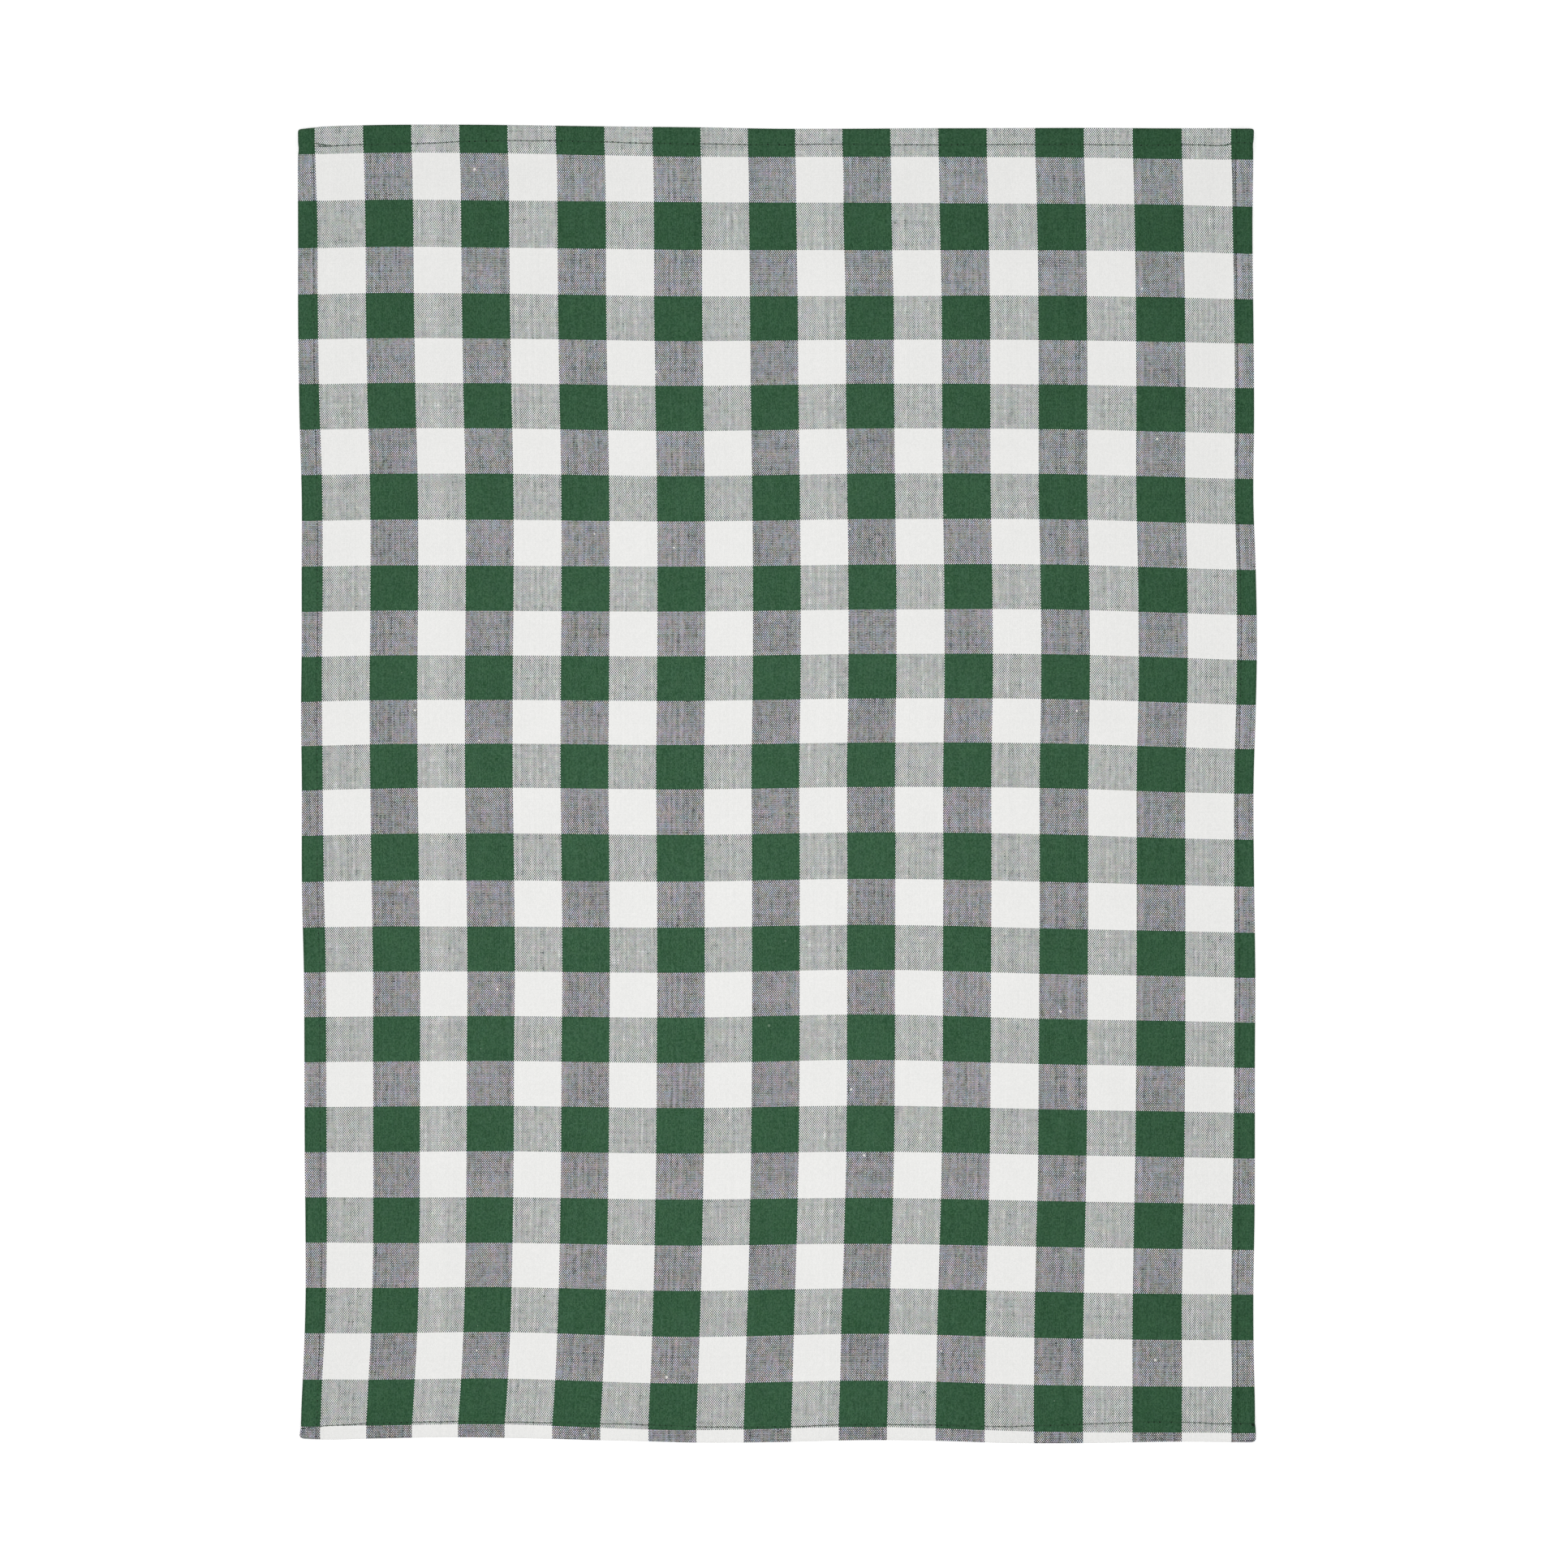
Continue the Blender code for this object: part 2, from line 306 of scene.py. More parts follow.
def stations():
    out = [Station("turned", t) for t in (1.0, 0.66, 0.33)]
    out += [Station("inner", t) for t in (1.0, 0.75, 0.5, 0.25)]
    out += [Station("back", t) for t in (1.0, 0.86, 0.74, 0.5, 0.25)]
    out += [Station("outer", t) for t in (1.0, 0.86, 0.7, 0.5, 0.3, 0.14)]
    out += [Station("face", t) for t in (0.0, 0.2, 0.45, 0.72)]
    out += [Station("seam", t) for t in (-0.85, -0.4, 0.0, 0.4, 0.85)]
    out += [Station("beside", t) for t in (0.0, 0.2, 0.4, 0.6, 0.8, 1.0)]
    return out


def section(station, T, s, seam_in, hem):
    """The folded place of a station: its distance inside the edge, its height, its distance inside the
    edge on the unfolded cloth, and how much of the hem's height the face still has there. T is the
    thickness of what is folded, and s how high in it the point lies."""
    start = 1.5 * T
    centre = hem - T
    turned_to = start + 0.9 * MM
    kind, t = station
    rise = np.ones_like(T)
    if kind == "face":
        inside = start + t * (seam_in - 1.1 * MM - start)
        return inside, 2 * T + s, inside, rise
    if kind == "seam":
        inside = seam_in + t * MM
        return inside, 2 * T + s, inside, rise
    if kind == "beside":
        inside = hem + 0.15 * MM + t * HEM_RUN_OUT
        rise = 1 - smooth(t + 0 * T)
        return inside, 2 * T * rise + s, inside, rise
    if kind == "outer":
        a = math.pi * t
        r = T / 2 + s
        return start - r * math.sin(a), start + r * math.cos(a), start - math.pi * T * t, rise
    back = start - math.pi * T  # unfolded distance where the back begins
    if kind == "back":
        inside = start + t * (centre - start)
        return inside, T - s, back - (inside - start), rise
    back -= centre - start
    if kind == "inner":
        a = math.pi * t
        return centre + s * math.sin(a), T - s * math.cos(a), back - 0.5 * math.pi * T * t, rise
    back -= 0.5 * math.pi * T
    inside = centre - t * (centre - turned_to)
    return inside, T + s, back - (centre - inside), rise


# ---------------------------------------------------------------------------------------------
# The sheet
# ---------------------------------------------------------------------------------------------
Line = namedtuple("Line", "end station share")  # a grid line: of one hem, or between the hems


def grid_lines(first, second, length):
    near = [Line(first, s, 0.0) for s in stations()]
    count = int(round((length - 30 * MM) / GRID))
    middle = [Line(None, None, k / (count + 1)) for k in range(1, count + 1)]
    return near + middle + [Line(second, l.station, 0.0) for l in reversed(near)]


COLUMNS = grid_lines("left", "right", TOWEL_WIDTH)
ROWS = grid_lines("bottom", "top", TOWEL_LENGTH)


def nominal(lines, half):
    """Where each line lies on a plain rectangle, to read the tables at."""
    out = []
    for line in lines:
        if line.end is None:
            out.append((2 * line.share - 1) * (half - 13.5 * MM))
            continue
        inside = float(section(line.station, np.float64(CLOTH), CLOTH / 2, 8.6 * MM, 10.2 * MM)[0])
        out.append(-half + inside if line.end in ("left", "bottom") else half - inside)
    return np.array(out)


NOM_X = nominal(COLUMNS, TOWEL_WIDTH / 2)
NOM_Y = nominal(ROWS, TOWEL_LENGTH / 2)


def place(lines, first, second, at, T, s):
    """Folds one way. lines run across the fold, at is the place along them, and T and s broadcast over
    (line, place). Returns the coordinate, height, unfolded coordinate, rise, and distance inside the
    nearest edge."""
    shape = (len(lines), len(at))
    T = np.broadcast_to(T, shape)
    s = np.broadcast_to(s, shape)
    low, high = edge(first, at), edge(second, at)
    seam_low, seam_high = seam(first, at), seam(second, at)
    coordinate, height, flat, rise, inside = (np.zeros(shape) for _ in range(5))
    last_low = -low + seam_low + SEAM_MARGIN + 0.15 * MM + HEM_RUN_OUT
    last_high = high - seam_high - SEAM_MARGIN - 0.15 * MM - HEM_RUN_OUT
    for k, line in enumerate(lines):
        if line.end is None:
            coordinate[k] = flat[k] = last_low + line.share * (last_high - last_low)
            height[k], rise[k] = s[k], 0.0
            inside[k] = np.minimum(coordinate[k] + low, high - coordinate[k])
            continue
        is_low = line.end == first
        seam_in = seam_low if is_low else seam_high
        i, h, f, r = section(line.station, T[k], s[k], seam_in, seam_in + SEAM_MARGIN)
        inside[k], height[k], rise[k] = i, h, r
        coordinate[k] = -low + i if is_low else high - i
        flat[k] = -low + f if is_low else high - f
    return coordinate, height, flat, rise, inside


def seam_path(side):
    """Points close together along one seam, before the outline is centred, and how many stitches it has run by each."""
    if side in ("top", "bottom"):
        sign = 1 if side == "top" else -1
        end = np.array([sign * TOWEL_LENGTH / 2])
        start = TOP_SEAM_START if side == "top" else 2.0 * MM
        x = np.linspace(start - edge("left", end)[0], edge("right", end)[0] - 2.0 * MM, 3000)
        y = sign * (edge(side, x) - seam(side, x))
    else:
        y = np.linspace(-TOWEL_LENGTH / 2, TOWEL_LENGTH / 2, 4000)
        x = (edge(side, y) - seam(side, y)) * (1 if side == "right" else -1)
        keep = (y < edge("top", x) - 2.3 * MM) & (y > 2.3 * MM - edge("bottom", x))
        x, y = x[keep], y[keep]
    run = np.concatenate([[0.0], np.cumsum(np.hypot(np.diff(x), np.diff(y)))])
    return x, y, run * round(run[-1] / STITCH) / run[-1]


SEAM_PATHS = [seam_path(side) for side in SIDES]


def stitches_run(side, at):
    """How many stitches a seam has run at places along it. side is a number in SIDES. Each seam's count
    starts at a different number."""
    out = np.zeros(at.shape)
    for k, (x, y, run) in enumerate(SEAM_PATHS):
        along = x if k < 2 else y
        beyond = (at - np.clip(at, along[0], along[-1])) / STITCH
        out = np.where(side == k, np.interp(at, along, run) + beyond + 400 * k, out)
    return out


def pinch(inside, seam_in):
    """1 under a row of stitches, 0 away from it."""
    return np.exp(-(((inside - seam_in) / (0.42 * MM)) ** 2))


def sheet_surface(w):
    """The points of one surface of the sheet: w is 0 for the underside of the cloth and CLOTH for its
    face. Returns places, weave places, places on the nearest seam of an end hem and of a side hem, how
    much of an end hem's height is there, and distances inside the edges in mm, all by (column, row)."""
    # Side hems first: across X, for each row
    x, s1, flat_x, rise_x, in_x = place(COLUMNS, "left", "right", NOM_Y, CLOTH, w)
    # Then the end hems, over the side hems: across Y, for each column
    stack = CLOTH + 2 * CLOTH * rise_x
    y, z, flat_y, rise_y, in_y = (
        a.T for a in place(ROWS, "bottom", "top", NOM_X, stack.T, s1.T)
    )
    seam_x = np.where(x < 0, seam("left", y), seam("right", y))
    seam_y = np.where(y < 0, seam("bottom", x), seam("top", x))
    # In a corner the layers are pressed flatter, and the outline is rounded
    z = z * (1 - CORNER_PRESS * rise_x * rise_y)
    radius = np.where(y > 0, CORNER_ROUND_TOP, CORNER_ROUND_BOTTOM)
    p = np.clip(1 - in_x / radius, 0, 1)
    q = np.clip(1 - in_y / radius, 0, 1)
    shift_x = (p - p * np.sqrt(1 - q * q / 2)) * radius
    shift_y = (q - q * np.sqrt(1 - p * p / 2)) * radius
    # Beside the stitches of an end hem the sides are drawn in
    shift_x += END_PINCH * smooth(1 - in_x / (9 * MM)) * np.exp(-(((in_y - seam_y - 1.5 * MM) / (2.6 * MM)) ** 2))
    for (right, up), (across, along) in CORNER_IN.items():
        here = (np.sign(x) == right) & (np.sign(y) == up)
        shift_x += here * across * MM * smooth(1 - in_x / (9 * MM)) * rise_y
        shift_y += here * along * MM * smooth(1 - in_y / (9 * MM)) * rise_x
    x = x - np.sign(x) * shift_x
    y = y - np.sign(y) * shift_y
    # Stitches pull the layers together
    sewn = 1 - (y > 0) * (x < SEAM_PATHS[0][0][0])
    pull = 0.26 * np.maximum(
        pinch(in_x, seam_x) * (rise_x > 0.5) * (rise_y < 0.5), pinch(in_y, seam_y) * (rise_y > 0.5) * sewn
    )
    z = z * (1 - pull) + pull * 0.62 * 3 * CLOTH
    z = z + 0.02 * MM + swell(x, y)
    u, v = weave_place(flat_x, flat_y)
    on_end = np.stack([stitches_run(np.where(y < 0, 1, 0), x), (in_y - seam_y) / MM], -1)
    on_side = np.stack([stitches_run(np.where(x < 0, 2, 3), y), (in_x - seam_x) / MM], -1)
    inside = np.stack([in_x / MM, in_y / MM], -1)
    return np.stack([x, y, z], -1), np.stack([u, v], -1), on_end, on_side, rise_y, inside


def centre_shift():
    """The solid's outline is centred on its own box, and so is this one."""
    up = np.linspace(-345, 345, 2401) * MM
    across = np.linspace(-250, 250, 2001) * MM
    return (
        (solid_edge("left", up).max() - solid_edge("right", up).max()) / 2,
        (solid_edge("bottom", across).max() - solid_edge("top", across).max()) / 2,
    )


SHIFT = centre_shift()


def new_mesh(name, points, faces, uvs):
    """A mesh with one UV map or more, each given by face corner."""
    mesh = bpy.data.meshes.new(name)
    points = np.asarray(points, np.float32)
    faces = np.asarray(faces, np.int32)
    mesh.vertices.add(len(points))
    mesh.vertices.foreach_set("co", points.ravel())
    mesh.loops.add(faces.size)
    mesh.loops.foreach_set("vertex_index", faces.ravel())
    mesh.polygons.add(len(faces))
    mesh.polygons.foreach_set("loop_start", np.arange(0, faces.size, faces.shape[1], dtype=np.int32))
    mesh.update(calc_edges=True)
    for map_name, values in uvs.items():
        layer = mesh.uv_layers.new(name=map_name)
        layer.data.foreach_set("uv", np.asarray(values, np.float32).ravel())
    mesh.validate()
    mesh.shade_smooth()
    return mesh


def build_sheet():
    face, face_uv, *face_seam = sheet_surface(CLOTH - LAYER_GAP / 2)
    under, under_uv, *under_seam = sheet_surface(LAYER_GAP / 2)
    nx, ny = face.shape[:2]
    count = nx * ny
    points = np.concatenate([face.reshape(-1, 3), under.reshape(-1, 3)])
    points[:, 0] += SHIFT[0]
    points[:, 1] += SHIFT[1]
    weave = np.concatenate([face_uv.reshape(-1, 2), under_uv.reshape(-1, 2)])
    index = np.arange(count).reshape(nx, ny)
    a, b, c, d = index[:-1, :-1], index[1:, :-1], index[1:, 1:], index[:-1, 1:]
    top = np.stack([a, b, c, d], -1).reshape(-1, 4)
    faces = [top, top[:, ::-1] + count]
    ring = np.concatenate([index[:-1, 0], index[-1, :-1], index[:0:-1, -1], index[0, :0:-1]])
    after = np.roll(ring, -1)
    faces.append(np.stack([ring + count, after + count, after, ring], -1))
    faces = np.concatenate(faces)
    corners = weave[faces]  # (faces, 4, 2)
    on_end, on_side, in_end_hem, inside = (
        np.concatenate([a.reshape(count, -1), b.reshape(count, -1)])[faces] for a, b in zip(face_seam, under_seam)
    )
    # In an end hem the side seam, sewn first, shows on its own narrow strip
    from_end, from_side = (np.abs(a[..., 1].mean(1)) for a in (on_end, on_side))
    use_end = (in_end_hem.mean(1)[..., 0] > 0.5) & ~((from_side < 0.85) & (from_end > 0.9))
    stitches = np.where(use_end[:, None, None], on_end, on_side)
    # For a bake: one pixel to a crossing of the yarns, the hems' backs laid over a like stretch of the check
    bake = np.stack([corners[..., 0] * ENDS, corners[..., 1] * PICKS], -1)
    for axis, yarns, (lowest, highest) in ((0, ENDS, (-10.4 / 25.13, 19.47)), (1, PICKS, (-0.69, 28.37))):
        middle = corners[..., axis].mean(1)
        step = np.where(middle < lowest, 2, np.where(middle > highest, -2, 0))
        bake[..., axis] += (step * yarns)[:, None]
    low = bake.reshape(-1, 2).min(0)
    high = bake.reshape(-1, 2).max(0)
    offset = np.round((1024 - (high - low)) / 2 - low)
    bake = (bake + offset) / 1024
    bake[..., 1] = 1 - bake[..., 1]
    mesh = new_mesh("towel_cloth", points, faces, {"weave": corners, "stitches": stitches, "inside": inside, "OFBake": bake})
    mesh.uv_layers["weave"].active_render = True
    mesh.uv_layers.active = mesh.uv_layers["weave"]
    towel = bpy.data.objects.new("towel_cloth", mesh)
    bpy.context.scene.collection.objects.link(towel)
    print("bake range", low, high, "of 1024", flush=True)
    flat_x = place(COLUMNS, "left", "right", NOM_Y, CLOTH, CLOTH / 2)[2]
    flat_y = place(ROWS, "bottom", "top", NOM_X, CLOTH, CLOTH / 2)[2]
    flat = (float(np.mean(flat_x[-1] - flat_x[0])), float(np.mean(flat_y[-1] - flat_y[0])))
    return towel, flat


# ---------------------------------------------------------------------------------------------
# Stitches
# ---------------------------------------------------------------------------------------------
def face_height(x, y):
    """Height of the face, and of the hem's underside below it, at places inside the outline."""
    out = []
    in_x = np.minimum(x + edge("left", y), edge("right", y) - x)
    in_y = np.minimum(y + edge("bottom", x), edge("top", x) - y)
    seam_x = np.where(x < 0, seam("left", y), seam("right", y))
    seam_y = np.where(y < 0, seam("bottom", x), seam("top", x))
    rise_x = 1 - smooth((in_x - seam_x - SEAM_MARGIN - 0.15 * MM) / HEM_RUN_OUT)
    rise_y = 1 - smooth((in_y - seam_y - SEAM_MARGIN - 0.15 * MM) / HEM_RUN_OUT)
    stack = CLOTH * (1 + 2 * rise_x)
    top = 2 * stack * rise_y + 2 * CLOTH * rise_x + CLOTH - LAYER_GAP / 2
    bottom = np.zeros_like(top) + LAYER_GAP / 2
    press = 1 - CORNER_PRESS * rise_x * rise_y
    pull = 0.26 * np.maximum(
        pinch(in_x, seam_x) * (rise_x > 0.5) * (rise_y < 0.5), pinch(in_y, seam_y) * (rise_y > 0.5)
    )
    lift = 0.02 * MM + swell(x, y)
    for z in (top, bottom):
        out.append((z * press) * (1 - pull) + pull * 0.62 * 3 * CLOTH + lift)
    return out


# A stitch's shape. along: share of its length. lift: height of the thread's middle over the cloth, in
# thread radii. Its ends go down into the needle's holes.
StitchRow = namedtuple("StitchRow", "along lift")
STITCH_SHAPE = (
    StitchRow(0.0, -2.6),
    StitchRow(0.035, -1.0),
    StitchRow(0.1, 0.05),
    StitchRow(0.28, 0.5),
    StitchRow(0.5, 0.6),
    StitchRow(0.72, 0.5),
    StitchRow(0.9, 0.05),
    StitchRow(0.965, -1.0),
    StitchRow(1.0, -2.6),
)
THREAD_SIDES = 6
# The thread's radius, and how far in such radii a stitch is sunk in the cloth, least and most: on an end
# hem, and on a side hem, whose seams are pulled tighter
STITCH_PULL = ((THREAD_RADIUS, 0.0, 0.7), (0.75 * THREAD_RADIUS, 0.7, 1.75))


def tube(centres, radius):
    """Points and faces of a closed tube through centres, an (n, 3) array, with ends drawn to a point's width."""
    n = len(centres)
    along = np.gradient(centres, axis=0)
    along /= np.linalg.norm(along, axis=1)[:, None]
    up = np.array([0.0, 0.0, 1.0])
    side = np.cross(along, up)
    length = np.linalg.norm(side, axis=1)[:, None]
    side = np.where(length > 1e-6, side / np.maximum(length, 1e-9), np.array([1.0, 0, 0]))
    over = np.cross(side, along)
    a = np.linspace(0, 2 * np.pi, THREAD_SIDES, endpoint=False)
    radii = np.full(n, radius)
    radii[0] = radii[-1] = 0.55 * radius
    ring = (
        centres[:, None]
        + radii[:, None, None] * (np.cos(a)[None, :, None] * side[:, None] + np.sin(a)[None, :, None] * over[:, None])
    )
    points = ring.reshape(-1, 3)
    k = np.arange(THREAD_SIDES)
    faces = []
    for i in range(n - 1):
        faces.append(
            np.stack(
                [i * THREAD_SIDES + k, i * THREAD_SIDES + (k + 1) % THREAD_SIDES,
                 (i + 1) * THREAD_SIDES + (k + 1) % THREAD_SIDES, (i + 1) * THREAD_SIDES + k], -1)
        )
    faces = np.concatenate(faces)[:, ::-1]
    u = np.repeat(np.arange(n) / (n - 1.0), THREAD_SIDES)
    v = np.tile(k / THREAD_SIDES, n)
    return points, faces, np.stack([u, v], -1)


def stitch(x, y, below, rng, radius=THREAD_RADIUS, sunk=0.0):
    """One stitch, with the thread's middle at the places x, y, one for each row of its shape. sunk: how
    far, in thread radii, it is pulled down into the cloth."""
    share, lift = np.array(STITCH_SHAPE).T
    across = np.array([y[0] - y[-1], x[-1] - x[0]])
    across /= max(np.linalg.norm(across), 1e-9)
    # It leans, and the thread's twist turns it a little
    aside = 0.05 * MM * rng.standard_normal() * np.sin(share * np.pi) + (share - 0.5) * 0.2 * MM
    x, y = x + across[0] * aside, y + across[1] * aside
    top, bottom = face_height(x, y)
    z = top + (lift - sunk) * radius
    if below:
        z = np.maximum(bottom - np.minimum(lift, 0.2) * radius, 1.05 * radius)
    return tube(np.stack([x, y, z], -1), radius)


def stitches_along(side, below, rng):
    """One stitch after another along a seam, on the face or, with below, on the underside."""
    path_x, path_y, run = SEAM_PATHS[SIDES.index(side)]
    share = np.array(STITCH_SHAPE)[:, 0]
    radius, least, most = STITCH_PULL[side in ("left", "right")]
    parts = []
    for i in range(int(round(run[-1]))):
        start, end = i + np.array([0.04, 0.96]) + 0.02 * rng.standard_normal(2)
        at = np.clip(start + share * (end - start), 0, run[-1])
        sunk = rng.uniform(least, most)
        parts.append(stitch(np.interp(at, run, path_x), np.interp(at, run, path_y), below, rng, radius, sunk))
    return parts


# Where a seam was begun or ended its stitches are doubled. Each row: places in mm, a stitch from each to
# the next, the thread's thickness as a multiple, and 1 if it is a knot, darkened with painted shade.
DOUBLED = (
    (((-242.4, 335.7), (-239.4, 335.5), (-236.6, 335.1), (-233.8, 334.9)), 1.35, 0),
    (((-241.0, 335.2), (-238.2, 335.0), (-235.4, 334.8)), 1.0, 0),
    (((234.4, 334.7), (236.4, 335.1), (238.7, 336.3)), 1.3, 0),
    (((235.6, 335.2), (237.9, 335.5)), 1.2, 0),
    (((-249.3, -337.5), (-247.6, -337.8)), 1.3, 0),
    (((247.9, -335.1), (249.4, -335.3)), 1.3, 0),
    (((248.7, -334.9), (249.9, -336.4)), 2.4, 1),
    (((248.6, -335.9), (250.1, -335.3)), 2.0, 1),
)


def doubled_stitches(rng):
    share = np.array(STITCH_SHAPE)[:, 0]
    parts = []
    for places, thick, knot in DOUBLED:
        for (x0, y0), (x1, y1) in zip(places, places[1:]):
            x, y = (x0 + share * (x1 - x0)) * MM, (y0 + share * (y1 - y0)) * MM
            points, faces, uv = stitch(x, y, False, rng, thick * THREAD_RADIUS)
            parts.append((points, faces, uv + [0, knot]))
    return parts


def join_parts(parts):
    points, faces, uvs, base = [], [], [], 0
    for p, f, uv in parts:
        points.append(p)
        faces.append(f + base)
        uvs.append(uv[f])
        base += len(p)
    points = np.concatenate(points)
    points[:, 0] += SHIFT[0]
    points[:, 1] += SHIFT[1]
    faces = np.concatenate(faces)
    return points, faces, np.concatenate(uvs)


def build_thread(name, parts):
    """A mesh of tubes, each with its two ends closed."""
    points, faces, uvs = join_parts(parts)
    quads = new_mesh(name, points, faces, {"thread": uvs})
    bm = bmesh.new()
    bm.from_mesh(quads)
    bmesh.ops.holes_fill(bm, edges=[e for e in bm.edges if e.is_boundary], sides=THREAD_SIDES)
    bmesh.ops.recalc_face_normals(bm, faces=bm.faces)
    bm.to_mesh(quads)
    bm.free()
    quads.shade_smooth()
    o = bpy.data.objects.new(name, quads)
    bpy.context.scene.collection.objects.link(o)
    return o


# ---------------------------------------------------------------------------------------------
# Materials
# ---------------------------------------------------------------------------------------------
class Nodes:
    """Short names for the shader nodes used here."""

    def __init__(self, name):
        self.material = bpy.data.materials.new(name)
        self.material.use_nodes = True
        self.tree = self.material.node_tree
        self.tree.nodes.clear()
        self.out = self.tree.nodes.new("ShaderNodeOutputMaterial")
        self.shader = self.tree.nodes.new("ShaderNodeBsdfPrincipled")
        self.tree.links.new(self.shader.outputs[0], self.out.inputs["Surface"])

    def put(self, socket, value):
        if isinstance(value, bpy.types.NodeSocket):
            self.tree.links.new(value, socket)
        elif value is not None:
            socket.default_value = value

    def math(self, operation, a, b=None, c=None, clamp=False):
        n = self.tree.nodes.new("ShaderNodeMath")
        n.operation = operation
        n.use_clamp = clamp
        for socket, value in zip(n.inputs, (a, b, c)):
            self.put(socket, value)
        return n.outputs[0]

    def add(self, a, b):
        return self.math("ADD", a, b)

    def sub(self, a, b):
        return self.math("SUBTRACT", a, b)

    def mul(self, a, b):
        return self.math("MULTIPLY", a, b)

    def mad(self, a, b, c):
        return self.math("MULTIPLY_ADD", a, b, c)

    def steps(self, value, low, high, to_low=0.0, to_high=1.0, kind="SMOOTHSTEP"):
        n = self.tree.nodes.new("ShaderNodeMapRange")
        n.interpolation_type = kind
        self.put(n.inputs["Value"], value)
        for key, x in (("From Min", low), ("From Max", high), ("To Min", to_low), ("To Max", to_high)):
            self.put(n.inputs[key], x)
        return n.outputs["Result"]

    def vector(self, x, y, z=0.0):
        n = self.tree.nodes.new("ShaderNodeCombineXYZ")
        for socket, value in zip(n.inputs, (x, y, z)):
            self.put(socket, value)
        return n.outputs[0]

    def uv(self, name):
        n = self.tree.nodes.new("ShaderNodeUVMap")
        n.uv_map = name
        s = self.tree.nodes.new("ShaderNodeSeparateXYZ")
        self.put(s.inputs[0], n.outputs[0])
        return s.outputs[0], s.outputs[1]

    def noise(self, vector, scale=1.0, detail=0.0, roughness=0.5, centred=True):
        """Noise around 0, or from 0 to 1."""
        n = self.tree.nodes.new("ShaderNodeTexNoise")
        n.noise_dimensions = "3D"
        self.put(n.inputs["Vector"], vector)
        n.inputs["Scale"].default_value = scale
        n.inputs["Detail"].default_value = detail
        n.inputs["Roughness"].default_value = roughness
        out = n.outputs["Fac"]
        return self.sub(out, 0.5) if centred else out

    def random(self, x, y=0.0, z=0.0):
        """A random number from 0 to 1 for each place."""
        return self.random_colour(x, y, z)[0]

    def random_colour(self, x, y=0.0, z=0.0):
        """A random number, and three more as a colour, for each place."""
        n = self.tree.nodes.new("ShaderNodeTexWhiteNoise")
        n.noise_dimensions = "3D"
        self.put(n.inputs["Vector"], self.vector(x, y, z))
        return n.outputs["Value"], n.outputs["Color"]

    def noise_colour(self, vector, detail, roughness):
        n = self.tree.nodes.new("ShaderNodeTexNoise")
        n.noise_dimensions = "3D"
        self.put(n.inputs["Vector"], vector)
        n.inputs["Scale"].default_value = 1.0
        n.inputs["Detail"].default_value = detail
        n.inputs["Roughness"].default_value = roughness
        return n.outputs["Color"]

    def vector_math(self, operation, a, b):
        n = self.tree.nodes.new("ShaderNodeVectorMath")
        n.operation = operation
        for socket, value in zip(n.inputs, (a, b)):
            self.put(socket, value)
        return n.outputs[0]

    def mix(self, factor, a, b):
        n = self.tree.nodes.new("ShaderNodeMix")
        n.data_type = "RGBA"
        n.clamp_factor = True
        self.put(n.inputs[0], factor)
        for socket, value in ((n.inputs[6], a), (n.inputs[7], b)):
            self.put(socket, (*value, 1.0) if isinstance(value, tuple) else value)
        return n.outputs[2]

    def scale_colour(self, colour, by):
        n = self.tree.nodes.new("ShaderNodeVectorMath")
        n.operation = "SCALE"
        self.put(n.inputs[0], colour)
        self.put(n.inputs["Scale"], by)
        return n.outputs[0]

    def bump(self, height, distance, strength=1.0):
        n = self.tree.nodes.new("ShaderNodeBump")
        n.inputs["Strength"].default_value = strength
        n.inputs["Distance"].default_value = distance
        self.put(n.inputs["Height"], height)
        self.put(self.shader.inputs["Normal"], n.outputs[0])


# Yarn colours, linear. A yarn looks different among its own colour and among the other: a white pick
# between green ends lies lower and in shade, and a dyed yarn among white ones looks greyer.
WHITE = (0.764, 0.764, 0.749)
GREEN = (0.0322, 0.0955, 0.0462)
GREEN_PICK_IN_WHITE = (0.041, 0.069, 0.060)
GREEN_END_IN_WHITE = (0.040, 0.046, 0.058)
WHITE_PICK_IN_GREEN = (0.795, 0.795, 0.787)

# How uneven yarns change which of the two is seen at a crossing, and how light it looks
LEAN_WARP, LEAN_WEFT, LEAN_DARK_GREY, LEAN_LIGHT_GREY = 0.74, 0.29, 0.497, -0.05
LEAN_EACH, LEAN_CLUMP, LEAN_CLOUD = 0.24, 0.37, 0.07
# A side hem lies taut across, so more of the picks is seen; the end hems show a little more green
LEAN_SIDE_HEM, LEAN_BOTTOM_HEM, LEAN_TOP_HEM = -0.035, 0.085, -0.06
LIGHT_GREY_YARN, LIGHT_GREY_EACH = 2.1, 0.25  # the same, among white ends, as a multiple
VARY_WARP, VARY_WEFT, VARY_EACH, VARY_CLUMP, VARY_FUZZ = 0.38, 0.11, 0.66, 0.14, 0.74
VARY_WHITE = 0.10
VARY_ON_GREEN = (1.30, 0.81, 1.12)  # a lighter place on the green is greyer too
# Painted shade in the grooves between the yarns: how dark it gets in each part of the check, and the yarn heights over
# which it fades out
YARN_SHADE_DARK_GREY, YARN_SHADE_LIGHT_GREY, YARN_SHADE_GREEN, YARN_SHADE_WHITE = 0.62, 0.28, 0.44, 0.05
GROOVE_LOW, GROOVE_HIGH = -0.1, 0.75
TINT_EACH, TINT_SOFT = 0.19, 0.29
TINT_BALANCE = (1.35, 0.5, 1.35)  # in the dark grey, more red to blue than green to purple
TINT_LIGHT_GREY, TINT_GREEN, TINT_WHITE = 0.47, 0.42, 0.02  # how much of it shows there
TINT_LEAN = 0.13  # where more of the dyed ends is seen, the grey is greener
